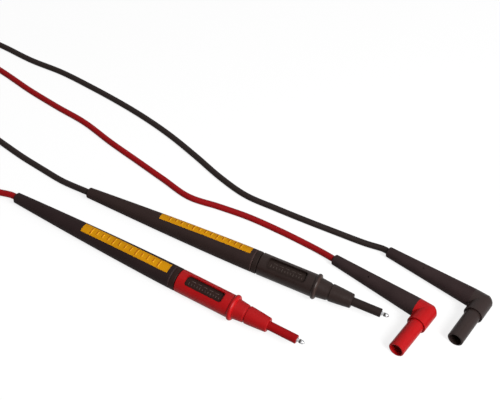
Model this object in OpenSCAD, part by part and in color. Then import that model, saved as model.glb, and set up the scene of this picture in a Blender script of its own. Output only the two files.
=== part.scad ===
// A red and a black multimeter test lead, laid out on a bench.
//
// Each lead is a probe with a twist guard, a flexible cable and a right-angle shrouded plug.
// Turning the twist shell of a probe draws its insulating sheath back along the tip:
// pins on the sheath's tail ride in helical grooves inside a fixed drum, and ribs on the
// sheath slide in keyways of the shell, so the sheath turns with the shell as it travels.
//
// Probe parts are drawn along +X, with 0 at the cable end of the handle.
// Plug parts are drawn about the corner of the elbow: the cable arrives along +X
// and the plug points along -Y.

/* [Probe handle] */
// Length of the handle, from its cable end to the fixed ring in front of it
handle_len = 95.8; // [90:0.1:110]
// Diameter of the handle where it meets the twist shell
handle_d = 11.7; // [11.4:0.1:13]
// Diameter of the handle at its cable end
tail_d = 5.7; // [5.2:0.1:6.4]
// How full the taper of the handle is: 1 is a straight cone
taper_power = 1.5; // [1.2:0.05:1.7]
// Length of the coloured label inlay
label_len = 50.8; // [30:0.1:52]
// Width of the label inlay
label_w = 5.2; // [3.5:0.1:5.5]
// Thickness of the label inlay
label_t = 0.7; // [0.4:0.05:0.75]
// Distance from the label inlay to the front end of the handle
label_setback = 2.6; // [2:0.1:8]
// Diameter of the rigid core inside the handle
core_d = 7.2; // [6.8:0.1:7.4]
// Length of the rigid core
core_len = 39; // [36:1:44]

/* [Twist shell and nose] */
// Length of the fixed ring that shows between the handle and the twist shell
flange_len = 2.7; // [2:0.1:3.5]
// Distance from the rear edge of the shell to the middle of the finger guard
guard_at = 30.4; // [30.2:0.1:34]
// How far the finger guard stands out from the shell
guard_rise = 0.8; // [0.5:0.1:1.5]
// Radius of the rounded edge of the finger guard
guard_bead_r = 1.2; // [1:0.05:1.5]
// Diameter of the short cone just in front of the finger guard
cone_d = 10.3; // [10:0.1:10.8]
// Distance from the middle of the finger guard to the front end of the shell
cone_len = 6.9; // [6.5:0.1:9]
// Length of the window through the shell
window_len = 20.5; // [14:0.1:20.8]
// Width of the window
window_w = 5.6; // [4:0.1:6]
// Corner radius of the window
window_corner = 1.4; // [0.8:0.1:1.8]
// Width of the shallow lip round the window
window_lip = 0.4; // [0.2:0.05:0.5]
// Distance from the rear edge of the shell to the window
window_setback = 4.4; // [4.1:0.1:4.6]
// Width of the groove between the shell and the nose cone
seam_w = 0.6; // [0.3:0.1:1]
// Length of the nose cone in front of the groove
nose_len = 11.5; // [10:0.5:15]
// Diameter of the nose cone at the groove
nose_d = 9.1; // [8.9:0.1:9.6]
// Diameter of the front end of the nose cone
nose_front_d = 7.3; // [6.9:0.1:8]

/* [Twist mechanism] */
// Travel of the sheath between its two stops
travel = 15; // [10:0.5:15]
// Turn of the shell that moves the sheath over its whole travel
twist_angle = 180; // [120:10:180]
// Diameter of the fixed drum that shows through the window
drum_d = 9.24; // [9:0.02:9.3]
// Diameter of the bore of the drum
drum_bore_d = 6.1; // [5.9:0.05:6.2]
// Depth of the helical grooves, out from the bore of the drum
cam_depth = 0.85; // [0.6:0.05:0.9]
// Diameter of the pins that ride in the grooves
cam_pin_d = 1.8; // [1.4:0.1:2]
// Width of the ribs that key the sheath to the shell
rib_w = 1.2; // [0.8:0.1:1.5]

/* [Sheath and tip] */
// Outer diameter of the sheath
sheath_d = 4.4; // [4.2:0.1:4.6]
// Diameter of the metal tip
tip_d = 2; // [1.6:0.1:2.2]
// Length of tip that stays bare when the sheath is fully out
tip_bare = 4; // [3:0.5:5]
// Length of the point at the end of the tip
tip_point = 1.2; // [0.8:0.1:1.6]

/* [Plug] */
// Distance from the cable end of the plug to the axis of its barrel
plug_reach = 54; // [46:0.1:60]
// Distance from the axis of the cable to the mouth of the barrel
plug_drop = 28.2; // [27:0.1:32]
// Outer diameter of the elbow and of the relief where they meet
elbow_d = 9.9; // [9.1:0.1:10.5]
// Length of the elbow's collar, from the axis of the cable
collar_len = 9.5; // [9:0.1:11]
// Outer diameter of the insulating barrel
barrel_d = 8; // [7.8:0.1:8.2]
// Bore of the insulating barrel
barrel_bore_d = 6.4; // [6:0.1:6.6]
// Diameter over the springy contact sleeve
contact_d = 4; // [3.9:0.05:4.1]
// Distance from the mouth of the barrel back to the end of the pin
pin_recess = 5.5; // [2:0.5:7]

/* [Cable] */
// Outer diameter of the cable
cable_d = 3.4; // [3:0.1:3.5]
// Diameter of the stranded conductor
wire_d = 1.5; // [1:0.1:1.6]
// Radius of a coil, to the middle of its outermost turn
coil_r = 26.5; // [26:0.5:27]
// Thickness of the straps that tie a coil
tie_t = 0.6; // [0.4:0.1:0.8]
// Width of the straps
tie_w = 8; // [5:0.5:9]

/* [Layout] */
// Distance between the two finger guards, across the bench
probe_gap = 33.5; // [30:0.1:34]
// How far the black probe lies ahead of the red one
probe_stagger = 28.3; // [26:0.1:29]
// Heading of the red probe, in degrees
red_heading = -2.2; // [-4:0.1:0]
// Heading of the black probe, in degrees
black_heading = 2.3; // [0:0.1:4]
// Turn of the red probe's label towards the front, in degrees
red_label_roll = 7; // [-30:1:60]
// Turn of the red probe's window towards the front, in degrees
red_window_roll = 17; // [-30:1:60]
// Turn of the black probe's label towards the front, in degrees
black_label_roll = -12; // [-30:1:60]
// Turn of the black probe's window towards the front, in degrees
black_window_roll = 19; // [-30:1:60]

/* [Clearances] */
// Gap between the fixed ring and the twist shell, and at the other end faces that turn
end_gap = 0.3; // [0.2:0.05:0.4]
// Radial gap of the running fits
run_gap = 0.08; // [0.04:0.01:0.1]
// Radial gap round pieces that are moulded in, pressed or glued
seat_gap = 0.02; // [0.01:0.01:0.03]

/* [Hidden] */
RED = 0;
BLACK = 1;

$fn = 64;

// Colours of the mouldings: the bright one and the cable, red lead then black lead
SHELL_COLOUR = ["#c81e1e", "#2b2626"];
CABLE_COLOUR = ["#9c1418", "#262120"];
GRIP_COLOUR = "#2f2a29";
LABEL_COLOUR = "#d99a12";

// --- stations along the probe ---
edge_r = 0.35;
flange_end = handle_len + flange_len;
shell_start = flange_end + end_gap;
guard_s = shell_start + guard_at;
shell_end = guard_s + cone_len;
nose_start = shell_end + seam_w;
nose_end = nose_start + nose_len;
sheath_end = nose_end + travel;
tip_end = sheath_end + tip_bare;
key_len = 6.5;
key_front = guard_s + guard_bead_r + 0.6;
key_rear = key_front - key_len;
drum_end = key_rear - end_gap;
collar_front = key_rear - end_gap;
tail_collar_len = 8;
collar_rear = collar_front - tail_collar_len;
bulkhead_end = collar_rear - travel - 0.5;
cam_pin_s = collar_front - 3;
guide_len = 1.9;
guide_rear = nose_end - guide_len;
core_start = handle_len - core_len;
label_start = handle_len - label_setback - label_len;

// --- radii along the probe ---
handle_r = handle_d / 2;
tail_r = tail_d / 2;
guard_r = handle_r + guard_rise;
bead_centre_r = guard_r - guard_bead_r;
drum_r = drum_d / 2;
drum_bore_r = drum_bore_d / 2;
shell_bore_r = drum_r + run_gap;
groove_r = drum_bore_r + cam_depth;
sheath_r = sheath_d / 2;
tip_r = tip_d / 2;
tip_gap = 0.15;
collar_r = drum_bore_r - run_gap;
rib_r = drum_bore_r - 0.15;
nose_bore_r = rib_r + 0.15;
spigot_r = 3.9;
core_r = core_d / 2;
cable_r = cable_d / 2;
wire_r = wire_d / 2;

// --- snap ring, friction ring and the metal inside the handle ---
ring_t = 0.8;
ring_s = shell_start + 2.9;
ring_floor_r = drum_r - 0.5;
ring_out_r = shell_bore_r + 0.28;
ring_seat_r = ring_out_r + 0.07;
oring_r = 0.5;
oring_s = shell_start + 1.3;
oring_mid_r = drum_r - oring_r + 0.03;
oring_floor_r = oring_mid_r - oring_r;
oring_slot = 1.2;
rod_start = core_start + 14;
neck_s = [sheath_end + 0.6, sheath_end + 1.3];
neck_r = tip_r - 0.25;
rod_collar_r = 1.8;
rod_collar_s = [handle_len - 15, handle_len - 11];
drum_spigot_r = 2.6;
drum_spigot_len = 7.8;
ferrule_r = 1.6;
ferrule_s = [core_start + 5, core_start + 19];
cable_end_s = core_start + 4;

// --- plug ---
elbow_r = elbow_d / 2;
barrel_r = barrel_d / 2;
barrel_bore_r = barrel_bore_d / 2;
contact_r = contact_d / 2;
barrel_root = 3.5;
barrel_web = 3.5;
web_end = barrel_root + barrel_web;
pin_r = contact_r - 0.45;
pin_tail_r = 1;
pin_flange_r = 2.4;
pin_flange_t = 1;
pin_end = plug_drop - pin_recess;
pin_head_len = 1.8;
relief_end = elbow_r + 0.35;
corner_reach = elbow_r * 1.06;
gate_d = 0.9;
gate_depth = 0.3;
plug_spigot_r = 3.2;
plug_spigot_len = 11;
crimp_r = 1.5;
crimp_x = [-relief_end - plug_spigot_len - 1, -4];
tongue_t = 1;
tongue_r = 2.2;

// --- how probe and plug lie on the bench ---
// The probe rests on its finger guard and on the belly of its handle.
lean = min([for (s = [0:1:handle_len - 1]) atan((guard_r - handle_radius(s)) / (guard_s - s))]);
guard_z = bead_centre_r * cos(lean) + guard_bead_r;
// The two probes are placed so that their common box is centred on the origin.
guard_mid_x = guard_s - tip_end / 2;
HEADING = [red_heading, black_heading];
GUARD = [
    [guard_mid_x - probe_stagger / 2, -probe_gap / 2, guard_z],
    [guard_mid_x + probe_stagger / 2, probe_gap / 2, guard_z]
];
LABEL_ROLL = [red_label_roll, black_label_roll];
WINDOW_ROLL = [red_window_roll, black_window_roll];
// The plug rests on its collar, the mouth of its barrel and the end of its relief.
plug_roll = atan((elbow_r - barrel_r) / (plug_drop - collar_len));
elbow_z = elbow_r * cos(plug_roll) + collar_len * sin(plug_roll);
plug_lean = asin((elbow_z - tail_r) / plug_reach);
PLUG_HEADING = [-9.9, -9];
ELBOW = [[112.4, 32, elbow_z], [134.5, 53.3, elbow_z]];

// --- cables ---
coil_pitch = cable_d + 0.5;
tie_slack = 0.1;
coil_lift = cable_r + tie_t + tie_slack;
coil_top = coil_lift + coil_pitch;
COIL_CENTRE = [[-166, -10], [-218, 62]];
COIL_TURNS = [7.25, 6.5];
COIL_START = [180, 90];
TIE_TURN = [[45, 225], [0, 180]];
COIL_STEPS = 24;
COIL_SIDES = 6;
TUBE_SIDES = 8;
RING_STEP = 12.4;
flat_z = cable_r;
// Routes on the bench, from the coil to the plug and from the coil to the probe.
PLUG_ROUTE = [
    [
        [-192, 6, 2], [-190, 19, 3.6], [-187, 32, 5.7], [-184.5, 45, 3.6], [-184, 56, 1.8],
        [-181, 65, flat_z], [-174, 69, flat_z], [-164.2, 67.9, flat_z], [-144.2, 63.7, flat_z],
        [-123.3, 60.6, flat_z], [-103.3, 58.2, flat_z], [-82.3, 52.6, flat_z],
        [-62.3, 48.1, flat_z], [-43.3, 43.8, flat_z], [-25.3, 39.9, flat_z],
        [-8.2, 42.4, flat_z], [8.7, 44.4, flat_z], [26.7, 44.6, flat_z], [41.7, 44, flat_z],
        [50.7, 43, 2.1]
    ],
    [
        [-198, 88.2, 1.9], [-180.3, 88.1, flat_z], [-160.2, 86.9, flat_z],
        [-139.2, 87.9, flat_z], [-118.3, 86.5, flat_z], [-97.3, 84.2, flat_z],
        [-77.3, 80.9, flat_z], [-57.3, 76, flat_z], [-37.3, 69.3, flat_z],
        [-18.3, 62.3, flat_z], [-0.3, 57.9, flat_z], [17.7, 58.2, flat_z], [34.7, 59, flat_z],
        [51.8, 60.2, flat_z], [67.8, 61.2, 2]
    ]
];
PROBE_ROUTE = [
    [
        [-154, -36, 5.6], [-145, -34.5, 3], [-136, -29, flat_z], [-127, -21, flat_z],
        [-118, -15, flat_z], [-109, -12.8, 2.6]
    ],
    [
        [-206, 36, 5.6], [-196, 35, 3], [-184, 32.3, flat_z], [-170, 28.5, flat_z],
        [-156, 24.7, flat_z], [-143, 21.8, flat_z], [-130, 19.2, flat_z],
        [-115.3, 16.4, flat_z], [-100.4, 14.4, flat_z], [-86.4, 12.4, 2.3]
    ]
];

// --- outlines and lines worked out from the values above ---
function handle_radius(s) = handle_r - (handle_r - tail_r) * pow(1 - s / handle_len, taper_power);
function nose_radius(s) =
    nose_d / 2 - (nose_d - nose_front_d) / 2 * pow((s - nose_start) / nose_len, 1.3);
function unit(v) = v / norm(v);
function heading_axis(turn, lift) = [cos(lift) * cos(turn), cos(lift) * sin(turn), sin(lift)];
function probe_axis(lead) = heading_axis(HEADING[lead], lean);
function probe_tail(lead) = GUARD[lead] - guard_s * probe_axis(lead);
function plug_axis(lead) = heading_axis(PLUG_HEADING[lead], plug_lean);
function plug_tail(lead) = ELBOW[lead] - plug_reach * plug_axis(lead);

// A quarter-round corner from angle a to angle b
function arc(x, y, r, a, b, n = 6) = [
    for (i = [0:n]) [x + r * cos(a + (b - a) * i / n), y + r * sin(a + (b - a) * i / n)]
];

// A smooth line through p, with a point about every step along it
function between(a, b, c, d, t) =
    0.5 * (2 * b + (c - a) * t + (2 * a - 5 * b + 4 * c - d) * t * t
    + (3 * b - a - 3 * c + d) * t * t * t);
function smooth(p, step) = let (last = len(p) - 1) concat(
    [
        for (i = [0:last - 1])
        let (n = max(1, round(norm(p[i + 1] - p[i]) / step)))
        for (k = [0:n - 1])
        between(
            i > 0 ? p[i - 1] : 2 * p[0] - p[1], p[i], p[i + 1],
            i < last - 1 ? p[i + 2] : 2 * p[last] - p[last - 1], k / n
        )
    ],
    [p[last]]
);

// One turn of a coil: it spirals in and out again and climbs a layer halfway
function coil_radius(lead, turned) =
    coil_r - coil_pitch * min(turned, 360 * COIL_TURNS[lead] - turned) / 360;
function climb(x) = let (t = max(0, min(1, x))) t * t * (3 - 2 * t);
function coil_height(lead, turned) =
    coil_lift + coil_pitch * climb((turned - 180 * COIL_TURNS[lead]) / 180 + 0.5);
function coil_point(lead, turned) =
    let (r = coil_radius(lead, turned), a = COIL_START[lead] + turned)
    [
        COIL_CENTRE[lead].x + r * cos(a), COIL_CENTRE[lead].y + r * sin(a),
        coil_height(lead, turned)
    ];
function coil_way(a) = [-sin(a), cos(a), 0];
function coil_start_way(lead) = coil_way(COIL_START[lead]);
function coil_end_way(lead) = coil_way(COIL_START[lead] + 360 * COIL_TURNS[lead]);
function coil_first(lead) = coil_point(lead, 0) - cable_d * coil_start_way(lead);
function coil_last(lead) =
    coil_point(lead, 360 * COIL_TURNS[lead]) + cable_d * coil_end_way(lead);
function coil_line(lead) = concat(
    [coil_first(lead)],
    [
        for (i = [0:COIL_TURNS[lead] * COIL_STEPS])
        coil_point(lead, 360 * i / COIL_STEPS)
    ],
    [coil_last(lead)]
);
function least_gap(p, skip) =
    min([for (i = [0:len(p) - 1 - skip], j = [i + skip:len(p) - 1]) norm(p[i] - p[j])]) - cable_d;
function line_length(p) = len(p) < 2 ? 0 : [for (i = [1:len(p) - 1]) norm(p[i] - p[i - 1])]
    * [for (i = [1:len(p) - 1]) 1];

// Centre lines of the free stretches; each starts and ends straight
function plug_line(lead) = smooth(concat(
    [coil_first(lead), coil_first(lead) - cable_d * coil_start_way(lead)],
    PLUG_ROUTE[lead],
    [plug_tail(lead) - cable_d * plug_axis(lead), plug_tail(lead)]
), RING_STEP);
function probe_line(lead) = smooth(concat(
    [coil_last(lead), coil_last(lead) + cable_d * coil_end_way(lead)],
    PROBE_ROUTE[lead],
    [probe_tail(lead) - cable_d * probe_axis(lead), probe_tail(lead)]
), RING_STEP);

// Sides of a tube at point i of the line p
function tube_ring(p, i, sides) =
    let (
        ahead = unit(p[min(i + 1, len(p) - 1)] - p[max(i - 1, 0)]),
        across = unit(cross(ahead, [0, 0, 1])),
        up = cross(across, ahead)
    )
    [
        for (k = [0:sides - 1])
        p[i] + cable_r * (cos(360 * (k + 0.5) / sides) * across
            + sin(360 * (k + 0.5) / sides) * up)
    ];

// --- shared shapes ---
module lay_probe(lead) {
    translate(GUARD[lead])
        rotate([0, -lean, HEADING[lead]])
            translate([-guard_s, 0, 0])
                children();
}

module lay_plug(lead) {
    translate(ELBOW[lead])
        rotate([plug_roll, -plug_lean, PLUG_HEADING[lead]])
            children();
}

// A solid turned about the X axis from [radius, station] points
module turned(points) {
    rotate([0, 90, 0])
        rotate_extrude()
            polygon(points);
}

// A solid turned about the -Y axis from [radius, distance] points
module dropped(points) {
    rotate([90, 0, 0])
        rotate_extrude()
            polygon(points);
}

// A round bar or hole along +X
module bar(r, from, to) {
    translate([from, 0, 0])
        rotate([0, 90, 0])
            cylinder(r = r, h = to - from);
}

// A round bar or hole along -Y
module drop_bar(r, from, to) {
    translate([0, -from, 0])
        rotate([90, 0, 0])
            cylinder(r = r, h = to - from);
}

// A block with four rounded upright edges, standing on z = 0
module rounded_block(size, r, h) {
    translate([0, r, 0])
        cube([size.x, size.y - 2 * r, h]);
    translate([r, 0, 0])
        cube([size.x - 2 * r, size.y, h]);
    for (x = [r, size.x - r], y = [r, size.y - r])
        translate([x, y, 0])
            cylinder(r = r, h = h);
}

// A tube along the line p
module tube(p, sides) {
    count = len(p);
    rings = [for (i = [0:count - 1]) each tube_ring(p, i, sides)];
    walls = [
        for (i = [0:count - 2], k = [0:sides - 1])
        let (
            a = i * sides + k, b = i * sides + (k + 1) % sides,
            c = a + sides, d = b + sides
        )
        each [[a, b, d], [a, d, c]]
    ];
    caps = [
        for (k = [1:sides - 2])
        each [
            [0, k + 1, k],
            [(count - 1) * sides, (count - 1) * sides + k, (count - 1) * sides + k + 1]
        ]
    ];
    polyhedron(points = rings, faces = concat(walls, caps));
}

// --- probe ---
// The band under the surface of the handle where the label inlay sits
module label_band(spare, top) {
    steps = 12;
    first = label_start - spare;
    last = label_start + label_len + spare;
    stations = [for (i = [0:steps]) first + (last - first) * i / steps];
    intersection() {
        turned(concat(
            [for (s = stations) [handle_radius(s) + top, s]],
            [for (i = [steps:-1:0]) [handle_radius(stations[i]) - label_t - spare, stations[i]]]
        ));
        translate([first, -label_w / 2 - spare, 0])
            cube([last - first, label_w + 2 * spare, handle_d]);
    }
}

module grip(lead) {
    steps = 20;
    outline = concat(
        [[cable_r + seat_gap, 0], [tail_r - edge_r, 0], [handle_radius(edge_r), edge_r]],
        [
            for (i = [1:steps])
            let (s = min(handle_len * i / steps, handle_len - edge_r))
            [handle_radius(s), s]
        ],
        [[handle_r - edge_r, handle_len], [core_r + seat_gap, handle_len]],
        [[core_r + seat_gap, core_start], [cable_r + seat_gap, core_start]]
    );
    gate_s = 17;
    color(GRIP_COLOUR)
        lay_probe(lead)
            rotate([LABEL_ROLL[lead], 0, 0])
                difference() {
                    turned(outline);
                    label_band(seat_gap, 1);
                    translate([gate_s, 0, handle_radius(gate_s) - gate_depth])
                        cylinder(d = gate_d, h = 1);
                }
}

module label(lead) {
    color(LABEL_COLOUR)
        lay_probe(lead)
            rotate([LABEL_ROLL[lead], 0, 0])
                label_band(0, 0.05);
}

module core(lead) {
    spigot_s = handle_len - drum_spigot_len - 0.2;
    color("#57514f")
        lay_probe(lead)
            turned([
                [cable_r + seat_gap, core_start], [core_r, core_start],
                [core_r, handle_len], [drum_spigot_r + seat_gap, handle_len],
                [drum_spigot_r + seat_gap, spigot_s], [tip_r + seat_gap, spigot_s],
                [tip_r + seat_gap, rod_collar_s[1] + seat_gap],
                [rod_collar_r + seat_gap, rod_collar_s[1] + seat_gap],
                [rod_collar_r + seat_gap, rod_collar_s[0] - seat_gap],
                [tip_r + seat_gap, rod_collar_s[0] - seat_gap],
                [tip_r + seat_gap, ferrule_s[1] + seat_gap],
                [cable_r + seat_gap, ferrule_s[1] + seat_gap]
            ]);
}

// One helical groove, cut from inside the drum; the pin runs along its middle
module cam_groove() {
    steps = 22;
    spare = 0.12;
    half = cam_pin_d / 2 + spare;
    over = half + 0.1;
    lead_per_rad = travel / (twist_angle * PI / 180);
    from_r = drum_bore_r - 0.2;
    sections = [
        for (i = [0:steps])
        let (
            back = -over + (travel + 2 * over) * i / steps,
            turn = twist_angle * back / travel
        )
        each [
            for (corner = [[from_r, -1], [groove_r, -1], [groove_r, 1], [from_r, 1]])
            let (
                r = corner[0],
                side = corner[1] * half * sqrt(1 + pow(r / lead_per_rad, 2)),
                z = r,
                y = side
            )
            [
                cam_pin_s - back,
                y * cos(turn) - z * sin(turn),
                y * sin(turn) + z * cos(turn)
            ]
        ]
    ];
    walls = [
        for (i = [0:steps - 1], k = [0:3])
        let (a = 4 * i + k, b = 4 * i + (k + 1) % 4)
        each [[a, a + 4, b + 4], [a, b + 4, b]]
    ];
    last = 4 * steps;
    caps = [[0, 1, 2], [0, 2, 3], [last, last + 2, last + 1], [last, last + 3, last + 2]];
    polyhedron(points = sections, faces = concat(walls, caps));
    // Straight way in, from the front end of the drum
    translate([cam_pin_s, -half, from_r])
        cube([drum_end + 1 - cam_pin_s, 2 * half, groove_r - from_r]);
}

module drum(lead) {
    spigot_s = handle_len - drum_spigot_len;
    color("#1d1b1b")
        lay_probe(lead)
            difference() {
                turned([
                    [tip_r + seat_gap, spigot_s], [drum_spigot_r, spigot_s],
                    [drum_spigot_r, handle_len], [handle_r - edge_r, handle_len],
                    [handle_r, handle_len + edge_r], [handle_r, flange_end - edge_r],
                    [handle_r - edge_r, flange_end], [drum_r, flange_end],
                    [drum_r, oring_s - oring_slot / 2], [oring_floor_r, oring_s - oring_slot / 2],
                    [oring_floor_r, oring_s + oring_slot / 2], [drum_r, oring_s + oring_slot / 2],
                    [drum_r, ring_s - ring_t / 2 - 0.05],
                    [ring_floor_r, ring_s - ring_t / 2 - 0.05],
                    [ring_floor_r, ring_s + ring_t / 2 + 0.05],
                    [drum_r, ring_s + ring_t / 2 + 0.05],
                    [drum_r, drum_end], [drum_bore_r, drum_end],
                    [drum_bore_r, bulkhead_end], [tip_r + seat_gap, bulkhead_end]
                ]);
                for (side = [0, 180])
                    rotate([side, 0, 0])
                        cam_groove();
            }
}

module friction_ring(lead) {
    color("#111111")
        lay_probe(lead)
            translate([oring_s, 0, 0])
                rotate([0, 90, 0])
                    rotate_extrude()
                        translate([oring_mid_r, 0])
                            circle(r = oring_r, $fn = 24);
}

module retaining_ring(lead) {
    color("#b9bcc0")
        lay_probe(lead)
            difference() {
                turned([
                    [ring_floor_r + seat_gap, ring_s - ring_t / 2],
                    [ring_out_r, ring_s - ring_t / 2],
                    [ring_out_r, ring_s + ring_t / 2],
                    [ring_floor_r + seat_gap, ring_s + ring_t / 2]
                ]);
                translate([ring_s - 1, -0.8, -guard_r])
                    cube([2, 1.6, guard_r]);
            }
}

module tip_rod(lead) {
    color("#d8d9dc")
        lay_probe(lead)
            turned([
                [0, rod_start], [tip_r, rod_start],
                [tip_r, rod_collar_s[0]], [rod_collar_r, rod_collar_s[0]],
                [rod_collar_r, rod_collar_s[1]], [tip_r, rod_collar_s[1]],
                [tip_r, neck_s[0]], [neck_r, neck_s[0]], [neck_r, neck_s[1]],
                [tip_r, neck_s[1]], [tip_r, tip_end - tip_point],
                [tip_r * 0.9, tip_end - tip_point * 0.7],
                [tip_r * 0.35, tip_end - tip_point * 0.1], [tip_r * 0.15, tip_end],
                [0, tip_end]
            ]);
}

module ferrule(lead) {
    wire_stop = rod_start - 1;
    color("#c9a24a")
        lay_probe(lead)
            turned([
                [wire_r + seat_gap, ferrule_s[0]], [ferrule_r, ferrule_s[0]],
                [ferrule_r, ferrule_s[1]], [tip_r + seat_gap, ferrule_s[1]],
                [tip_r + seat_gap, rod_start - seat_gap], [0, rod_start - seat_gap],
                [0, wire_stop + seat_gap], [wire_r + seat_gap, wire_stop + seat_gap]
            ]);
}

module probe_wire(lead) {
    color("#c77b4a")
        lay_probe(lead)
            bar(wire_r, 1, rod_start - 1);
}

module probe_cable_end(lead) {
    color(CABLE_COLOUR[lead])
        lay_probe(lead)
            difference() {
                bar(cable_r, 0, cable_end_s);
                bar(wire_r, 1, cable_end_s + 1);
            }
}

// The two keyways, or with no spare room the two ribs that run in them
module ribs(r, w, from, to) {
    intersection() {
        bar(r, from, to);
        translate([from, -guard_r, -w / 2])
            cube([to - from, 2 * guard_r, w]);
    }
}

module twist_shell(lead) {
    rear_angle = 180 - asin((handle_r - bead_centre_r) / guard_bead_r);
    front_angle = asin((cone_d / 2 - bead_centre_r) / guard_bead_r);
    bead = [
        for (p = arc(0, 0, guard_bead_r, rear_angle, front_angle, 14))
        [bead_centre_r + p.y, guard_s + p.x]
    ];
    outline = concat(
        [[shell_bore_r, shell_start], [handle_r - edge_r, shell_start], [handle_r, shell_start + edge_r]],
        bead,
        [
            [nose_d / 2, shell_end - edge_r], [nose_d / 2 - edge_r, shell_end],
            [spigot_r + seat_gap, shell_end], [spigot_r + seat_gap, key_front],
            [sheath_r + run_gap, key_front], [sheath_r + run_gap, key_rear],
            [shell_bore_r, key_rear],
            [shell_bore_r, ring_s + ring_t / 2 + 0.1], [ring_seat_r, ring_s + ring_t / 2 + 0.1],
            [ring_seat_r, ring_s - ring_t / 2 - 0.1], [shell_bore_r, ring_s - ring_t / 2 - 0.1]
        ]
    );
    window_s = shell_start + window_setback;
    lip = [window_len + 2 * window_lip, window_w + 2 * window_lip];
    color(SHELL_COLOUR[lead])
        lay_probe(lead)
            difference() {
                turned(outline);
                rotate([WINDOW_ROLL[lead], 0, 0]) {
                    translate([window_s, -window_w / 2, 0])
                        rounded_block([window_len, window_w], window_corner, handle_d);
                    difference() {
                        translate([window_s - window_lip, -lip.y / 2, 0])
                            rounded_block(lip, window_corner + window_lip, handle_d);
                        bar(handle_r - 0.25, window_s - 1, window_s + window_len + 1);
                    }
                }
                ribs(rib_r + 0.12, rib_w + 0.2, key_rear - 0.01, key_front + 0.01);
            }
}

module nose_cone(lead) {
    steps = 8;
    front = [
        for (i = [1:steps])
        let (s = nose_start + edge_r + (nose_len - 2 * edge_r) * i / steps)
        [nose_radius(s), s]
    ];
    color(SHELL_COLOUR[lead])
        lay_probe(lead)
            turned(concat(
                [[nose_bore_r, key_front + 0.1], [spigot_r, key_front + 0.1], [spigot_r, shell_end]],
                [[nose_d / 2 - edge_r, shell_end], [nose_d / 2 - edge_r, nose_start]],
                [[nose_d / 2, nose_start + edge_r]],
                front,
                [[nose_front_d / 2 - edge_r, nose_end], [sheath_r + run_gap, nose_end]],
                [[sheath_r + run_gap, guide_rear], [nose_bore_r, guide_rear]]
            ));
}

module sheath(lead) {
    bore_r = tip_r + tip_gap;
    color(SHELL_COLOUR[lead])
        lay_probe(lead)
            difference() {
                union() {
                    turned([
                        [bore_r, collar_rear], [collar_r, collar_rear],
                        [collar_r, collar_front], [sheath_r, collar_front],
                        [sheath_r, sheath_end - 0.2], [sheath_r - 0.2, sheath_end],
                        [bore_r, sheath_end]
                    ]);
                    difference() {
                        ribs(rib_r, rib_w, key_rear + end_gap, guide_rear - end_gap);
                        bar(bore_r + 0.3, key_rear, guide_rear);
                    }
                }
                for (side = [0, 180])
                    rotate([side, 0, 0])
                        translate([cam_pin_s, 0, bore_r + 0.45])
                            cylinder(d = cam_pin_d + 2 * seat_gap, h = drum_r);
            }
}

module cam_pins(lead) {
    foot = tip_r + tip_gap + 0.45;
    color("#c9ccd0")
        lay_probe(lead)
            for (side = [0, 180])
                rotate([side, 0, 0])
                    translate([cam_pin_s, 0, foot])
                        cylinder(d = cam_pin_d, h = groove_r - 0.1 - foot);
}

// --- plug ---
module plug_relief(lead) {
    gate_at = 21;
    slope = (elbow_r - tail_r) / (plug_reach - relief_end);
    color(GRIP_COLOUR)
        lay_plug(lead)
            difference() {
                turned([
                    [cable_r + seat_gap, -plug_reach], [tail_r - edge_r, -plug_reach],
                    [tail_r, -plug_reach + edge_r], [elbow_r, -relief_end],
                    [plug_spigot_r + seat_gap, -relief_end],
                    [plug_spigot_r + seat_gap, -relief_end - plug_spigot_len],
                    [cable_r + seat_gap, -relief_end - plug_spigot_len]
                ]);
                rotate([22, 0, 0])
                    translate([gate_at - plug_reach, 0, tail_r + gate_at * slope - 2 * gate_depth])
                        cylinder(d = gate_d, h = 1);
            }
}

// The crimped terminal; spare widens it into the cavity that holds it
module terminal_shape(spare) {
    bar(crimp_r + spare, crimp_x[0] - spare, crimp_x[1] + spare);
    translate([crimp_x[1] - 1, -tongue_t / 2 - spare, -crimp_r])
        cube([3.5, tongue_t + 2 * spare, 2 * crimp_r]);
    drop_bar(tongue_r + spare, -tongue_t / 2 - spare, tongue_t / 2 + spare);
}

module plug_elbow(lead) {
    color(SHELL_COLOUR[lead])
        lay_plug(lead)
            difference() {
                union() {
                    bar(plug_spigot_r, -relief_end - plug_spigot_len, -relief_end + 1);
                    bar(elbow_r, -relief_end, 0);
                    intersection() {
                        bar(elbow_r, -elbow_r, elbow_r);
                        drop_bar(elbow_r, -elbow_r, elbow_r);
                        sphere(r = corner_reach);
                    }
                    drop_bar(elbow_r, 0, collar_len);
                }
                terminal_shape(seat_gap);
                drop_bar(pin_tail_r + seat_gap, -tongue_t / 2 - 1, barrel_root + 0.1);
                drop_bar(barrel_r + seat_gap, barrel_root, collar_len + 1);
                drop_bar(barrel_r + 0.3, collar_len - 0.9, collar_len + 1);
            }
}

module plug_barrel(lead) {
    color(SHELL_COLOUR[lead])
        lay_plug(lead)
            dropped([
                [pin_r + seat_gap, barrel_root], [barrel_r, barrel_root],
                [barrel_r, plug_drop - 0.25], [barrel_r - 0.25, plug_drop],
                [barrel_bore_r, plug_drop], [barrel_bore_r, web_end],
                [pin_r + seat_gap, web_end]
            ]);
}

module plug_pin(lead) {
    color("#d9c27a")
        lay_plug(lead)
            dropped([
                [0, -tongue_t / 2 - 0.9], [pin_tail_r, -tongue_t / 2 - 0.9],
                [pin_tail_r, barrel_root], [pin_r, barrel_root],
                [pin_r, web_end], [pin_flange_r, web_end],
                [pin_flange_r, web_end + pin_flange_t], [pin_r, web_end + pin_flange_t],
                [pin_r, pin_end - pin_head_len], [contact_r, pin_end - pin_head_len],
                [contact_r, pin_end - 0.6], [contact_r - 0.5, pin_end],
                [0, pin_end]
            ]);
}

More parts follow.
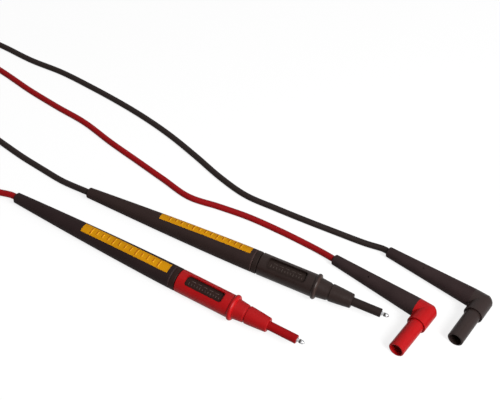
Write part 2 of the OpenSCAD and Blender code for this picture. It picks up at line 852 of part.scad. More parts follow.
module plug_contact(lead) {
    from = web_end + pin_flange_t;
    to = pin_end - pin_head_len;
    slot_w = 0.45;
    color("#e3cf8c")
        lay_plug(lead)
            difference() {
                drop_bar(contact_r, from, to);
                drop_bar(pin_r + seat_gap, from - 1, to + 1);
                for (turn = [45:90:315])
                    rotate([0, turn, 0])
                        translate([-slot_w / 2, -to + 1.5, 0])
                            cube([slot_w, to - from - 3, contact_d]);
            }
}

module plug_terminal(lead) {
    color("#c9a24a")
        lay_plug(lead)
            difference() {
                terminal_shape(0);
                bar(wire_r + seat_gap, crimp_x[0] - 1, crimp_x[1] - 3);
                drop_bar(pin_tail_r + seat_gap, -tongue_t, tongue_t);
            }
}

module plug_wire(lead) {
    color("#c77b4a")
        lay_plug(lead)
            bar(wire_r, -plug_reach + 1, crimp_x[1] - 3);
}

module plug_cable_end(lead) {
    stop = crimp_x[0] - 0.5;
    color(CABLE_COLOUR[lead])
        lay_plug(lead)
            difference() {
                bar(cable_r, -plug_reach, stop);
                bar(wire_r, -plug_reach + 1, stop + 1);
            }
}

// --- cable ---
module plug_cable(lead) {
    line = plug_line(lead);
    echo(str("plug cable ", lead, ": ", len(line), " rings, ", line_length(line), " mm"));
    color(CABLE_COLOUR[lead])
        tube(line, TUBE_SIDES);
}

module probe_cable(lead) {
    line = probe_line(lead);
    echo(str("probe cable ", lead, ": ", len(line), " rings, ", line_length(line), " mm"));
    color(CABLE_COLOUR[lead])
        tube(line, TUBE_SIDES);
}

module coil(lead) {
    line = coil_line(lead);
    echo(str("coil ", lead, ": ", line_length(line), " mm, least gap ", least_gap(line, 18), " mm"));
    color(CABLE_COLOUR[lead])
        tube(line, COIL_SIDES);
}

// Two straps round the bundle of turns, on opposite sides, on which the coil rests
module coil_ties(lead) {
    inner_r = coil_r - coil_pitch * COIL_TURNS[lead] / 2;
    near = sqrt(pow(inner_r, 2) - pow(tie_w / 2, 2)) - cable_r - tie_slack;
    far = coil_r + cable_r + tie_slack;
    top = coil_top + cable_r + tie_slack;
    corner = 1.6;
    color("#1c1c1e")
        translate([COIL_CENTRE[lead].x, COIL_CENTRE[lead].y, 0])
            for (turn = TIE_TURN[lead])
                rotate([90, 0, turn])
                    translate([0, 0, -tie_w / 2])
                        difference() {
                            translate([near - tie_t, 0, 0])
                                rounded_block(
                                    [far - near + 2 * tie_t, top + tie_t], corner + tie_t, tie_w
                                );
                            translate([near, tie_t, -1])
                                rounded_block([far - near, top - tie_t], corner, tie_w + 2);
                        }
}

grip(RED);  // red_grip
label(RED);  // red_label
core(RED);  // red_core
drum(RED);  // red_drum
friction_ring(RED);  // red_friction_ring
retaining_ring(RED);  // red_retaining_ring
tip_rod(RED);  // red_tip_rod
ferrule(RED);  // red_ferrule
probe_wire(RED);  // red_probe_wire
probe_cable_end(RED);  // red_probe_cable_end
twist_shell(RED);  // red_twist_shell
nose_cone(RED);  // red_nose_cone
sheath(RED);  // red_sheath
cam_pins(RED);  // red_cam_pins
plug_relief(RED);  // red_plug_relief
plug_elbow(RED);  // red_plug_elbow
plug_barrel(RED);  // red_plug_barrel
plug_pin(RED);  // red_plug_pin
plug_contact(RED);  // red_plug_contact
plug_terminal(RED);  // red_plug_terminal
plug_wire(RED);  // red_plug_wire
plug_cable_end(RED);  // red_plug_cable_end
plug_cable(RED);  // red_plug_cable
coil(RED);  // red_coil
probe_cable(RED);  // red_probe_cable
coil_ties(RED);  // red_coil_ties
grip(BLACK);  // black_grip
label(BLACK);  // black_label
core(BLACK);  // black_core
drum(BLACK);  // black_drum
friction_ring(BLACK);  // black_friction_ring
retaining_ring(BLACK);  // black_retaining_ring
tip_rod(BLACK);  // black_tip_rod
ferrule(BLACK);  // black_ferrule
probe_wire(BLACK);  // black_probe_wire
probe_cable_end(BLACK);  // black_probe_cable_end
twist_shell(BLACK);  // black_twist_shell
nose_cone(BLACK);  // black_nose_cone
sheath(BLACK);  // black_sheath
cam_pins(BLACK);  // black_cam_pins
plug_relief(BLACK);  // black_plug_relief
plug_elbow(BLACK);  // black_plug_elbow
plug_barrel(BLACK);  // black_plug_barrel
plug_pin(BLACK);  // black_plug_pin
plug_contact(BLACK);  // black_plug_contact
plug_terminal(BLACK);  // black_plug_terminal
plug_wire(BLACK);  // black_plug_wire
plug_cable_end(BLACK);  // black_plug_cable_end
plug_cable(BLACK);  // black_plug_cable
coil(BLACK);  // black_coil
probe_cable(BLACK);  // black_probe_cable
coil_ties(BLACK);  // black_coil_ties
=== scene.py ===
import math

import bmesh
import bpy
from mathutils import Matrix, Vector


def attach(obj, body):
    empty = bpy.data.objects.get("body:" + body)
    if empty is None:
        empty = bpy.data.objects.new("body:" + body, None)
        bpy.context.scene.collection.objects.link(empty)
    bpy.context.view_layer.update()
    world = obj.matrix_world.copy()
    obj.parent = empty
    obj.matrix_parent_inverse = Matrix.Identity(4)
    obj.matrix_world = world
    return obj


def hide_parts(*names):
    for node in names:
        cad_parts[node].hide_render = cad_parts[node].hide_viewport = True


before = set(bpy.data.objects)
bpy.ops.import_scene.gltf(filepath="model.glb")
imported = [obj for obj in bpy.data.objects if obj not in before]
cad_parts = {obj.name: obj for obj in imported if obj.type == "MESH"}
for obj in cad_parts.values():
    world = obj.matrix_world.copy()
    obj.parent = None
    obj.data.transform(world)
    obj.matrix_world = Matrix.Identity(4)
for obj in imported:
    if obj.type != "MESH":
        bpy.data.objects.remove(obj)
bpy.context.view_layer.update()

MM = 0.001

# ---------------------------------------------------------------- sizes, in mm
# Probe: distances s run along its axis, from the cable end of the handle to the tip
HANDLE_LEN = 95.8
HANDLE_R = 5.85
TAIL_R = 2.85
TAPER = 1.5
LABEL_START = 42.4
DRUM_R = 4.62
WINDOW_MID = 113.45
GUARD_S = 129.2
GUARD_R = 6.65
BEAD_R = 1.2
TIP_END = 167.2
TIP_BARE = 4

# Plug
ELBOW_R = 4.95
BARREL_R = 4.0
PLUG_DROP = 28.2
COLLAR_LEN = 9.5
PLUG_REACH = 54

# Cable and its coils
CABLE_D = 3.4
CABLE_GAP = 0.5
TIE_UNDER = 0.7
COIL_R = 26.5
COIL_PITCH = CABLE_D + CABLE_GAP
COIL_LIFT = CABLE_D / 2 + TIE_UNDER
COIL_STEPS = 72
LAY_Z = CABLE_D / 2

# Where the pieces lie, turns in degrees
LEADS = ("red", "black")
HEADING = {"red": -2.2, "black": 2.3}
LABEL_ROLL = {"red": 7, "black": -12}
WINDOW_ROLL = {"red": 17, "black": 19}
PLUG_HEADING = {"red": -9.9, "black": -9}
SPREAD = (14.15, 16.75)


def handle_radius(s):
    return HANDLE_R - (HANDLE_R - TAIL_R) * (1 - s / HANDLE_LEN) ** TAPER


# A probe rests on its handle and its finger guard, a plug on its elbow and the end of its relief
LEAN = min(
    math.atan((GUARD_R - handle_radius(s)) / (GUARD_S - s)) for s in range(int(HANDLE_LEN))
)
GUARD_Z = (GUARD_R - BEAD_R) * math.cos(LEAN) + BEAD_R
GUARD_MID_X = GUARD_S - TIP_END / 2
GUARD = {
    "red": Vector((GUARD_MID_X - SPREAD[0], -SPREAD[1], GUARD_Z)),
    "black": Vector((GUARD_MID_X + SPREAD[0], SPREAD[1], GUARD_Z)),
}
PLUG_ROLL = math.atan((ELBOW_R - BARREL_R) / (PLUG_DROP - COLLAR_LEN))
ELBOW_Z = ELBOW_R * math.cos(PLUG_ROLL) + COLLAR_LEN * math.sin(PLUG_ROLL)
PLUG_LEAN = math.asin((ELBOW_Z - TAIL_R) / PLUG_REACH)
ELBOW = {"red": Vector((112.4, 32.0, ELBOW_Z)), "black": Vector((134.5, 53.3, ELBOW_Z))}


def turned(roll, lean, heading):
    """Roll and lean in radians, heading in degrees."""
    return (
        Matrix.Rotation(math.radians(heading), 4, "Z")
        @ Matrix.Rotation(-lean, 4, "Y")
        @ Matrix.Rotation(roll, 4, "X")
    )


def probe_frame(lead):
    """Probe coordinates in mm, 0 at the cable end of the handle, to the row frame in metres."""
    return (
        Matrix.Scale(MM, 4)
        @ Matrix.Translation(GUARD[lead])
        @ turned(0, LEAN, HEADING[lead])
        @ Matrix.Translation((-GUARD_S, 0, 0))
    )


# ---------------------------------------------------------------- routes of the cables
# The points that the solids follow too, in mm: from the coil to the plug, and from the coil to the probe
PLUG_ROUTE = {
    "red": [
        (-192, 6, 2), (-190, 19, 3.6), (-187, 32, 5.7), (-184.5, 45, 3.6), (-184, 56, 1.8),
        (-181, 65, LAY_Z), (-174, 69, LAY_Z), (-164.2, 67.9, LAY_Z), (-144.2, 63.7, LAY_Z),
        (-123.3, 60.6, LAY_Z), (-103.3, 58.2, LAY_Z), (-82.3, 52.6, LAY_Z),
        (-62.3, 48.1, LAY_Z), (-43.3, 43.8, LAY_Z), (-25.3, 39.9, LAY_Z), (-8.2, 42.4, LAY_Z),
        (8.7, 44.4, LAY_Z), (26.7, 44.6, LAY_Z), (41.7, 44, LAY_Z), (50.7, 43, 2.1),
    ],
    "black": [
        (-198, 88.2, 1.9), (-180.3, 88.1, LAY_Z), (-160.2, 86.9, LAY_Z), (-139.2, 87.9, LAY_Z),
        (-118.3, 86.5, LAY_Z), (-97.3, 84.2, LAY_Z), (-77.3, 80.9, LAY_Z), (-57.3, 76, LAY_Z),
        (-37.3, 69.3, LAY_Z), (-18.3, 62.3, LAY_Z), (-0.3, 57.9, LAY_Z), (17.7, 58.2, LAY_Z),
        (34.7, 59, LAY_Z), (51.8, 60.2, LAY_Z), (67.8, 61.2, 2),
    ],
}
PROBE_ROUTE = {
    "red": [
        (-154, -36, 5.6), (-145, -34.5, 3), (-136, -29, LAY_Z), (-127, -21, LAY_Z),
        (-118, -15, LAY_Z), (-109, -12.8, 2.6),
    ],
    "black": [
        (-206, 36, 5.6), (-196, 35, 3), (-184, 32.3, LAY_Z), (-170, 28.5, LAY_Z),
        (-156, 24.7, LAY_Z), (-143, 21.8, LAY_Z), (-130, 19.2, LAY_Z),
        (-115.3, 16.4, LAY_Z), (-100.4, 14.4, LAY_Z), (-86.4, 12.4, 2.3),
    ],
}
# The coils, angles in degrees
COIL_CENTRE = {"red": (-166, -10), "black": (-218, 62)}
COIL_TURNS = {"red": 7.25, "black": 6.5}
COIL_START = {"red": 180, "black": 90}


def coil_point(lead, angle):
    """Piled turns: in and out again at a steady rate, a layer higher after half a turn in the middle."""
    total = 360 * COIL_TURNS[lead]
    r = COIL_R - COIL_PITCH * min(angle, total - angle) / 360
    t = max(0.0, min(1.0, (angle - total / 2) / 180 + 0.5))
    z = COIL_LIFT + COIL_PITCH * t * t * (3 - 2 * t)
    a = math.radians(COIL_START[lead] + angle)
    x, y = COIL_CENTRE[lead]
    return Vector((x + r * math.cos(a), y + r * math.sin(a), z))


def coil_way(lead, angle):
    """The direction in which the coil runs at an angle."""
    a = math.radians(COIL_START[lead] + angle)
    return Vector((-math.sin(a), math.cos(a), 0))


def smooth(points, spacing=1.6):
    """A line through the points, with the same tangents as the solids'."""
    p = [Vector(q) for q in points]
    p = [2 * p[0] - p[1]] + p + [2 * p[-1] - p[-2]]
    line = []
    for a, b, c, d in zip(p, p[1:], p[2:], p[3:]):
        n = max(1, round((c - b).length / spacing))
        for k in range(n):
            t = k / n
            line.append(
                0.5 * (2 * b + (c - a) * t + (2 * a - 5 * b + 4 * c - d) * t * t
                       + (3 * b - a - 3 * c + d) * t ** 3)
            )
    return line + [p[-2]]


def cable_line(lead):
    """The whole cable of a lead in mm, from the handle's end by way of the coil to the plug."""
    total = 360 * COIL_TURNS[lead]
    steps = round(COIL_TURNS[lead] * COIL_STEPS)
    first = coil_point(lead, 0) - CABLE_D * coil_way(lead, 0)
    last = coil_point(lead, total) + CABLE_D * coil_way(lead, total)
    probe = turned(0, LEAN, HEADING[lead]) @ Vector((1, 0, 0))
    plug = turned(PLUG_ROLL, PLUG_LEAN, PLUG_HEADING[lead]) @ Vector((1, 0, 0))
    probe_tail = GUARD[lead] - GUARD_S * probe
    plug_tail = ELBOW[lead] - PLUG_REACH * plug
    to_probe = smooth(
        [last, last + CABLE_D * coil_way(lead, total)] + PROBE_ROUTE[lead]
        + [probe_tail - CABLE_D * probe, probe_tail]
    )
    to_plug = smooth(
        [first, first - CABLE_D * coil_way(lead, 0)] + PLUG_ROUTE[lead]
        + [plug_tail - CABLE_D * plug, plug_tail]
    )
    coil = [coil_point(lead, total * i / steps) for i in range(steps + 1)]
    return to_probe[::-1] + coil[::-1] + to_plug


# ---------------------------------------------------------------- materials
def srgb(r, g, b):
    """A linear colour from the values 0 to 255 of a picture."""
    def lin(c):
        c /= 255
        return c / 12.92 if c <= 0.04045 else ((c + 0.055) / 1.055) ** 2.4
    return (lin(r), lin(g), lin(b), 1)


def scaled(colour, k):
    """A colour k times as bright."""
    return (min(1, colour[0] * k), min(1, colour[1] * k), min(1, colour[2] * k), 1)


def new_material(name, colour, rough, metallic=0.0, spec=0.5, sheen=0.0):
    m = bpy.data.materials.new(name)
    m.use_nodes = True
    b = m.node_tree.nodes["Principled BSDF"]
    b.inputs["Base Color"].default_value = colour
    b.inputs["Roughness"].default_value = rough
    b.inputs["Metallic"].default_value = metallic
    b.inputs["Specular IOR Level"].default_value = spec
    b.inputs["Sheen Weight"].default_value = sheen
    b.inputs["Sheen Roughness"].default_value = 0.5
    m.diffuse_color = colour
    return m, m.node_tree, b


def noise(t, scale, detail=3.0, stretch=None):
    """Noise in the space of the object, scale in turns per metre."""
    n = t.nodes.new("ShaderNodeTexNoise")
    n.inputs["Scale"].default_value = scale
    n.inputs["Detail"].default_value = detail
    n.inputs["Roughness"].default_value = 0.55
    place = t.nodes.new("ShaderNodeTexCoord").outputs["Object"]
    if stretch:
        mapping = t.nodes.new("ShaderNodeMapping")
        mapping.inputs["Scale"].default_value = stretch
        t.links.new(place, mapping.inputs["Vector"])
        place = mapping.outputs["Vector"]
    t.links.new(place, n.inputs["Vector"])
    return n.outputs["Fac"]


def vary_colour(t, b, dark, light, source):
    ramp = t.nodes.new("ShaderNodeValToRGB")
    first, last = ramp.color_ramp.elements
    first.position, first.color = 0.35, dark
    last.position, last.color = 0.65, light
    t.links.new(source, ramp.inputs["Fac"])
    t.links.new(ramp.outputs["Color"], b.inputs["Base Color"])


def vary_rough(t, b, low, high, source):
    span = t.nodes.new("ShaderNodeMapRange")
    span.inputs["From Min"].default_value = 0.3
    span.inputs["From Max"].default_value = 0.7
    span.inputs["To Min"].default_value = low
    span.inputs["To Max"].default_value = high
    t.links.new(source, span.inputs["Value"])
    t.links.new(span.outputs["Result"], b.inputs["Roughness"])


def bump(t, b, source, distance):
    n = t.nodes.new("ShaderNodeBump")
    n.inputs["Strength"].default_value = 1.0
    n.inputs["Distance"].default_value = distance
    t.links.new(source, n.inputs["Height"])
    t.links.new(n.outputs["Normal"], b.inputs["Normal"])


# Surface grains: turns of the noise per metre, and depth in metres
MOULDED = (1500, 0.00001)
FINE_MOULDED = (1500, 0.000008)
DRUM_GRAIN = (1800, 0.00001)
SOFT_TOUCH = (2600, 0.00003)
SEAL_GRAIN = (2000, 0.00001)
LABEL_GRAIN = (1400, 0.00001)
TICK_GRAIN = (1400, 0.000008)
MARK_GRAIN = (1600, 0.000004)
SILICONE = (1300, 0.000012)
WOVEN = (3200, 0.00008)


def plastic(name, colour, rough, grain, spread=0.08, **more):
    """Moulded plastic or rubber: fine grain, with slow changes of shade and gloss."""
    m, t, b = new_material(name, colour, rough, **more)
    scale, depth = grain
    slow = noise(t, 90)
    vary_colour(t, b, scaled(colour, 1 - spread), scaled(colour, 1 + spread), slow)
    vary_rough(t, b, rough - 0.05, rough + 0.07, noise(t, 420, 4))
    bump(t, b, noise(t, scale, 2), depth)
    return m


def metal(name, colour, rough, stretch=None):
    """Turned or plated metal: light tool marks, with slow changes of shade and gloss."""
    m, t, b = new_material(name, colour, rough, metallic=1.0)
    vary_colour(t, b, scaled(colour, 0.93), scaled(colour, 1.04), noise(t, 160))
    vary_rough(t, b, rough - 0.04, rough + 0.08, noise(t, 700))
    bump(t, b, noise(t, 900, 2, stretch=stretch), 0.000004)
    return m


SHELL = {
    "red": plastic("red_moulded", srgb(169, 12, 16), 0.4, FINE_MOULDED, 0.05, spec=0.15),
    "black": plastic("black_moulded", srgb(39, 27, 24), 0.38, MOULDED, 0.06, spec=0.15),
}
PLUG = {
    "red": plastic("red_plug", srgb(178, 14, 18), 0.38, FINE_MOULDED, 0.05, spec=0.15),
    "black": plastic("black_plug", srgb(46, 35, 33), 0.38, MOULDED, 0.06, spec=0.15),
}
SHEATH = {
    "red": plastic("red_sheath", srgb(150, 11, 15), 0.42, FINE_MOULDED, 0.05, spec=0.08),
    "black": plastic("black_sheath", srgb(38, 29, 27), 0.42, MOULDED, 0.06, spec=0.08),
}
DRUM = {
    "red": plastic("red_drum_moulded", srgb(43, 27, 24), 0.5, DRUM_GRAIN, spec=0.06),
    "black": plastic("black_drum_moulded", srgb(42, 32, 29), 0.5, DRUM_GRAIN, spec=0.06),
}
PRINT = {
    "red": plastic("red_window_marks", srgb(84, 70, 66), 0.5, MARK_GRAIN, spec=0.1),
    "black": plastic("black_window_marks", srgb(74, 64, 60), 0.5, MARK_GRAIN, spec=0.1),
}
CABLE = {
    "red": plastic("red_silicone", srgb(147, 12, 17), 0.46, SILICONE, 0.07, spec=0.1),
    "black": plastic("black_silicone", srgb(37, 28, 26), 0.48, SILICONE, 0.07, spec=0.1),
}
CORE = plastic("core_moulded", srgb(88, 82, 80), 0.5, MOULDED)
RELIEF = plastic("relief_soft_touch", srgb(51, 39, 39), 0.6, SOFT_TOUCH, 0.12, spec=0.06)
SEAL = plastic("seal_rubber", srgb(22, 22, 22), 0.55, SEAL_GRAIN)
LABEL = plastic("label_amber", srgb(209, 143, 8), 0.5, LABEL_GRAIN, 0.05, spec=0.07)
# The ticks' darker amber is partly the marks' own colour and partly painted shade of engraved strokes
TICK = plastic("label_ticks", srgb(190, 100, 8), 0.45, TICK_GRAIN, 0.05, spec=0.05)
# Light bars in front of the ticks: a painted highlight on the ticks' lit edges
TICK_HIGHLIGHT = plastic("label_tick_highlights", srgb(232, 176, 40), 0.45, TICK_GRAIN, 0.05, spec=0.05)
STRAP = plastic("woven_strap", srgb(30, 30, 32), 0.8, WOVEN, 0.2, sheen=0.3)
STEEL = metal("turned_steel", (0.60, 0.60, 0.62, 1), 0.3)
BRASS = metal("machined_brass", (0.74, 0.55, 0.27, 1), 0.26)
COPPER = metal("copper_strands", (0.78, 0.42, 0.26, 1), 0.32, stretch=(1, 6, 6))

CLEAR = (1.0, 1.0, 1.0)
# A painted dark band on the tip: shade and dark reflection, not the metal's own colour
PAINTED_DARK_BAND = (0.12, 0.11, 0.1)
# A painted highlight on the grip's front edge
PAINTED_EDGE_HIGHLIGHT = (1.9, 1.9, 1.9)
# A painted glint on the front flank of the finger guard, per lead
PAINTED_GLINT = {"red": (1.35, 1.6, 1.6), "black": (2.4, 2.6, 2.6)}
GRIP_COLOUR = {"red": srgb(40, 29, 29), "black": srgb(47, 35, 33)}
EDGE_HIGHLIGHT_LEN = 2
GLINT_LEN = 1.5


def shade_along(m, lead, first, last, stops):
    """Multiply a material's colour by shades set along the probe, from station first to last.

    A stop is its place, from 0 at first to 1 at last, and its colour.
    """
    t = m.node_tree
    to_row = probe_frame(lead)
    axis = (to_row.to_3x3() @ Vector((1, 0, 0))).normalized()
    co = t.nodes.new("ShaderNodeTexCoord")
    along = t.nodes.new("ShaderNodeVectorMath")
    along.operation = "DOT_PRODUCT"
    along.inputs[1].default_value = axis
    span = t.nodes.new("ShaderNodeMapRange")
    span.inputs["From Min"].default_value = axis.dot(to_row @ Vector((first, 0, 0)))
    span.inputs["From Max"].default_value = axis.dot(to_row @ Vector((last, 0, 0)))
    ramp = t.nodes.new("ShaderNodeValToRGB")
    elements = ramp.color_ramp.elements
    for element, (place, colour) in zip(elements, (stops[0], stops[-1])):
        element.position, element.color = place, (*colour, 1)
    for place, colour in stops[1:-1]:
        elements.new(place).color = (*colour, 1)
    tint = t.nodes.new("ShaderNodeMix")
    tint.data_type = "RGBA"
    tint.blend_type = "MULTIPLY"
    tint.inputs["Factor"].default_value = 1.0
    base = t.nodes["Principled BSDF"].inputs["Base Color"]
    under = base.links[0].from_socket
    t.links.new(co.outputs["Object"], along.inputs[0])
    t.links.new(along.outputs["Value"], span.inputs["Value"])
    t.links.new(span.outputs["Result"], ramp.inputs["Fac"])
    t.links.new(under, tint.inputs["A"])
    t.links.new(ramp.outputs["Color"], tint.inputs["B"])
    t.links.new(tint.outputs["Result"], base)
    return m


def tip_metal(lead):
    """Nickel plate, with a painted dark band of shade and dark reflection just in front of its neck."""
    m = metal(f"{lead}_tip_nickel", (0.44, 0.44, 0.45, 1), 0.26)
    stops = [(0.3, CLEAR), (0.34, PAINTED_DARK_BAND), (0.5, PAINTED_DARK_BAND), (0.6, CLEAR)]
    return shade_along(m, lead, TIP_END - TIP_BARE, TIP_END, stops)


def grip_rubber(lead):
    """Soft-touch rubber, with a painted highlight along its front edge."""
    m = plastic(f"{lead}_grip_soft_touch", GRIP_COLOUR[lead], 0.6, SOFT_TOUCH, spec=0.06)
    stops = [(0.0, CLEAR), (0.55, CLEAR), (0.8, PAINTED_EDGE_HIGHLIGHT), (1.0, PAINTED_EDGE_HIGHLIGHT)]
    return shade_along(m, lead, HANDLE_LEN - EDGE_HIGHLIGHT_LEN, HANDLE_LEN, stops)


def shell_with_glint(lead):
    """The shell's plastic, with a painted glint at the front of the finger guard."""
    stops = [(0.58, CLEAR), (0.7, PAINTED_GLINT[lead]), (0.9, PAINTED_GLINT[lead]), (1.0, CLEAR)]
    return shade_along(SHELL[lead], lead, GUARD_S - GLINT_LEN, GUARD_S + GLINT_LEN, stops)


def dress(lead, material, *parts):
    """Give CAD nodes of a lead their material."""
    for part in parts:
        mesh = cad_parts[f"{lead}_{part}"].data
        mesh.materials.clear()
        mesh.materials.append(material)


for lead in LEADS:
    dress(lead, shell_with_glint(lead), "twist_shell", "nose_cone")
    dress(lead, PLUG[lead], "plug_elbow", "plug_barrel")
    dress(lead, SHEATH[lead], "sheath")
    dress(lead, DRUM[lead], "drum")
    dress(lead, tip_metal(lead), "tip_rod")
    dress(lead, grip_rubber(lead), "grip")
    dress(lead, CABLE[lead], "probe_cable_end", "plug_cable_end", "plug_cable", "coil", "probe_cable")
    dress(lead, LABEL, "label")
    dress(lead, CORE, "core")
    dress(lead, SEAL, "friction_ring")
    dress(lead, RELIEF, "plug_relief")
    dress(lead, STEEL, "retaining_ring", "cam_pins")
    dress(lead, BRASS, "ferrule", "plug_pin", "plug_contact", "plug_terminal")
    dress(lead, COPPER, "probe_wire", "plug_wire")
    dress(lead, STRAP, "coil_ties")


# ---------------------------------------------------------------- pieces
def piece_from_bmesh(name, bm, material, body):
    """Make a smooth-shaded piece that rides on a body."""
    mesh = bpy.data.meshes.new(name)
    bm.normal_update()
    bm.to_mesh(mesh)
    bm.free()
    for f in mesh.polygons:
        f.use_smooth = True
    mesh.materials.append(material)
    o = bpy.data.objects.new(name, mesh)
    bpy.context.scene.collection.objects.link(o)
    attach(o, body)
    return o


BAR_CHAMFER = 0.3
BAR_STEP = 0.4


def add_bar(bm, to_row, s, angle, r, along, across, low, high):
    """A raised bar with bevelled edges, bent round a surface of radius r.

    Its middle is at station s and at angle from the top; low and high are its foot and top from r.
    """
    half, chamfer = along / 2, min(along, high) * BAR_CHAMFER
    profile = [
        (-half, low), (-half, high - chamfer), (-half + chamfer, high),
        (half - chamfer, high), (half, high - chamfer), (half, low),
    ]
    steps = max(1, round(across / BAR_STEP))
    loops = []
    for i in range(steps + 1):
        a = math.radians(angle) + across / r * (i / steps - 0.5)
        way = Vector((0, -math.sin(a), math.cos(a)))
        ring = [Vector((s + x, 0, 0)) + (r + z) * way for x, z in profile]
        loops.append([bm.verts.new(to_row @ point) for point in ring])
    for one, other in zip(loops, loops[1:]):
        for i in range(len(profile)):
            j = (i + 1) % len(profile)
            bm.faces.new((one[i], one[j], other[j], other[i]))
    bm.faces.new(loops[0][::-1])
    bm.faces.new(loops[-1])


# Evenly spaced raised ticks on the label, each fourth one longer:
# (distance from the label's rear end, along the probe, across it)
LABEL_TICKS = [(5.2 + 3.3 * i, 0.45, 2.4 if i % 4 else 4.0) for i in range(13)]
TICK_FOOT, TICK_TOP = -0.15, 0.2
TICK_HIGHLIGHT_AHEAD = 0.45

# Marks on the drum, in each window a row of lines and a row of dashes:
# (distance from the window's middle, angle from the window's middle, along the probe, across it)
WINDOW_MARKS = [(1.5 * i - 8.25, 12, 0.3, 1.0 if i % 4 else 1.5) for i in range(12)]
WINDOW_MARKS += [(3.2 * i - 6.4, -10, 2.0, 0.3) for i in range(5)]
MARK_FOOT, MARK_TOP = -0.1, 0.035

for lead in LEADS:
    to_row = probe_frame(lead)
    # Each tick gets a lighter bar just in front of it, a painted highlight
    for name, material, ahead in (("ticks", TICK, 0), ("tick_highlights", TICK_HIGHLIGHT, TICK_HIGHLIGHT_AHEAD)):
        bm = bmesh.new()
        for start, along, across in LABEL_TICKS:
            s = LABEL_START + start + ahead
            roll = LABEL_ROLL[lead]
            add_bar(bm, to_row, s, roll, handle_radius(s), along, across, TICK_FOOT, TICK_TOP)
        piece_from_bmesh(f"{lead}_label_{name}", bm, material, "leads")

    bm = bmesh.new()
    for side in (0, 180):
        for away, angle, along, across in WINDOW_MARKS:
            roll = WINDOW_ROLL[lead] + side + angle
            add_bar(bm, to_row, WINDOW_MID + away, roll, DRUM_R, along, across, MARK_FOOT, MARK_TOP)
    piece_from_bmesh(f"{lead}_window_marks", bm, PRINT[lead], "leads")


# ---------------------------------------------------------------- cables
CABLE_ROUNDNESS = 5
for lead in LEADS:
    line = [p * MM for p in cable_line(lead)]
    curve = bpy.data.curves.new(f"{lead}_cable", "CURVE")
    curve.dimensions = "3D"
    curve.bevel_depth = CABLE_D / 2 * MM
    curve.bevel_resolution = CABLE_ROUNDNESS
    curve.use_fill_caps = True
    spline = curve.splines.new("POLY")
    spline.points.add(len(line) - 1)
    for point, p in zip(spline.points, line):
        point.co = (*p, 1)
    spline.use_smooth = True
    curve.materials.append(CABLE[lead])
    cable = bpy.data.objects.new(f"{lead}_cable", curve)
    bpy.context.scene.collection.objects.link(cable)
    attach(cable, "leads")
    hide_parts(f"{lead}_plug_cable", f"{lead}_coil", f"{lead}_probe_cable")
    length = sum((b - a).length for a, b in zip(line, line[1:]))
    print(f"{lead} cable: {length:.4f} m")


# ---------------------------------------------------------------- floor, light and camera
def studio_rays(t):
    """1 for what the camera sees, directly or in a gloss or through glass."""
    path = t.nodes.new("ShaderNodeLightPath")
    add = t.nodes.new("ShaderNodeMath")
    add.operation = "ADD"
    more = t.nodes.new("ShaderNodeMath")
    more.operation = "ADD"
    more.use_clamp = True
    t.links.new(path.outputs["Is Camera Ray"], add.inputs[0])
    t.links.new(path.outputs["Is Glossy Ray"], add.inputs[1])
    t.links.new(add.outputs[0], more.inputs[0])
    t.links.new(path.outputs["Is Transmission Ray"], more.inputs[1])
    return more.outputs[0]


FLOOR_HALF = 3
FLOOR_DROP = 0.00005
FLOOR_GREY = 0.22
FLOOR_GLOW = 0.82
WORLD_FILL = 0.12
WORLD_SEEN = 1.0

bm = bmesh.new()
bmesh.ops.create_grid(bm, x_segments=1, y_segments=1, size=FLOOR_HALF)
mesh = bpy.data.meshes.new("floor")
bm.to_mesh(mesh)
bm.free()
floor = bpy.data.objects.new("floor", mesh)
floor.location = (0, 0, -FLOOR_DROP)
bpy.context.scene.collection.objects.link(floor)

# The floor is dull grey to the object, and glows to near white for the camera, with its shadow kept
m = bpy.data.materials.new("floor_white")
m.use_nodes = True
t = m.node_tree
t.nodes.clear()
out = t.nodes.new("ShaderNodeOutputMaterial")
mix = t.nodes.new("ShaderNodeMixShader")
plain = t.nodes.new("ShaderNodeBsdfDiffuse")
plain.inputs["Color"].default_value = (FLOOR_GREY, FLOOR_GREY, FLOOR_GREY, 1)
glow = t.nodes.new("ShaderNodeEmission")
glow.inputs["Color"].default_value = (1, 1, 1, 1)
glow.inputs["Strength"].default_value = FLOOR_GLOW
seen = t.nodes.new("ShaderNodeAddShader")
t.links.new(plain.outputs[0], seen.inputs[0])
t.links.new(glow.outputs[0], seen.inputs[1])
t.links.new(studio_rays(t), mix.inputs["Fac"])
t.links.new(plain.outputs[0], mix.inputs[1])
t.links.new(seen.outputs[0], mix.inputs[2])
t.links.new(mix.outputs[0], out.inputs["Surface"])
mesh.materials.append(m)

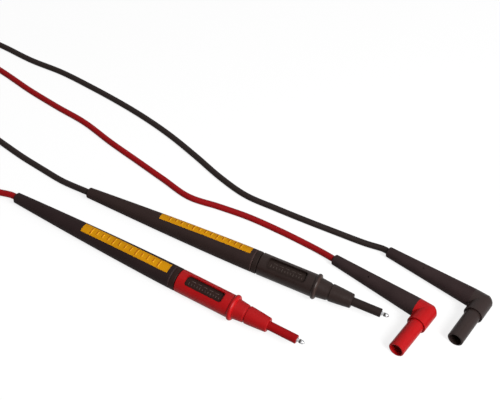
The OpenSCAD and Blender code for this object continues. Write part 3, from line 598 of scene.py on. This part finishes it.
# The world gives a weak fill, and shows white
world = bpy.data.worlds.new("studio")
bpy.context.scene.world = world
world.use_nodes = True
t = world.node_tree
t.nodes.clear()
out = t.nodes.new("ShaderNodeOutputWorld")
mix = t.nodes.new("ShaderNodeMixShader")
t.links.new(studio_rays(t), mix.inputs["Fac"])
for place, strength in ((1, WORLD_FILL), (2, WORLD_SEEN)):
    light = t.nodes.new("ShaderNodeBackground")
    light.inputs["Color"].default_value = (1, 1, 1, 1)
    light.inputs["Strength"].default_value = strength
    t.links.new(light.outputs[0], mix.inputs[place])
t.links.new(mix.outputs[0], out.inputs["Surface"])

MIDDLE = Vector((0.0, 0.02, 0.0))


def softbox(name, where, size, power):
    """An area lamp aimed at the middle of the object."""
    data = bpy.data.lights.new(name, "AREA")
    data.shape = "RECTANGLE"
    data.size, data.size_y = size
    data.energy = power
    o = bpy.data.objects.new(name, data)
    o.location = where
    o.rotation_euler = (MIDDLE - Vector(where)).to_track_quat("-Z", "Y").to_euler()
    bpy.context.scene.collection.objects.link(o)
    return o


softbox("key", (0.85, -0.4, 0.85), (0.5, 0.5), 17)
softbox("top", (-0.25, 0.35, 1.1), (1.2, 0.9), 2)
# The shine of the key light on edges: it shows in gloss only, and adds no light of its own
shine = softbox("shine", (0.84, -0.395, 0.84), (0.5, 0.6), 18)
shine.visible_diffuse = False

# The camera looks 45 degrees down at the bench, and is rolled a little
CAMERA_AT = Vector((0.13496, -0.29249, 0.37428))
CAMERA_RIGHT = Vector((0.93544, 0.35347, 0.0))
CAMERA_UP = Vector((-0.24994, 0.66146, 0.70711))
CAMERA_FORWARD = Vector((-0.24994, 0.66146, -0.70711))
CAMERA_ROLL = math.radians(9.244)
right = (math.cos(CAMERA_ROLL) * CAMERA_RIGHT + math.sin(CAMERA_ROLL) * CAMERA_UP).normalized()
up = (math.cos(CAMERA_ROLL) * CAMERA_UP - math.sin(CAMERA_ROLL) * CAMERA_RIGHT).normalized()
data = bpy.data.cameras.new("camera")
data.sensor_width = 36
data.lens = 70.98
data.clip_start = 0.01
camera = bpy.data.objects.new("camera", data)
turn = Matrix((right, up, -CAMERA_FORWARD.normalized())).transposed()
camera.matrix_world = Matrix.Translation(CAMERA_AT) @ turn.to_4x4()
bpy.context.scene.collection.objects.link(camera)
bpy.context.scene.camera = camera
bpy.context.scene.view_settings.view_transform = "Standard"
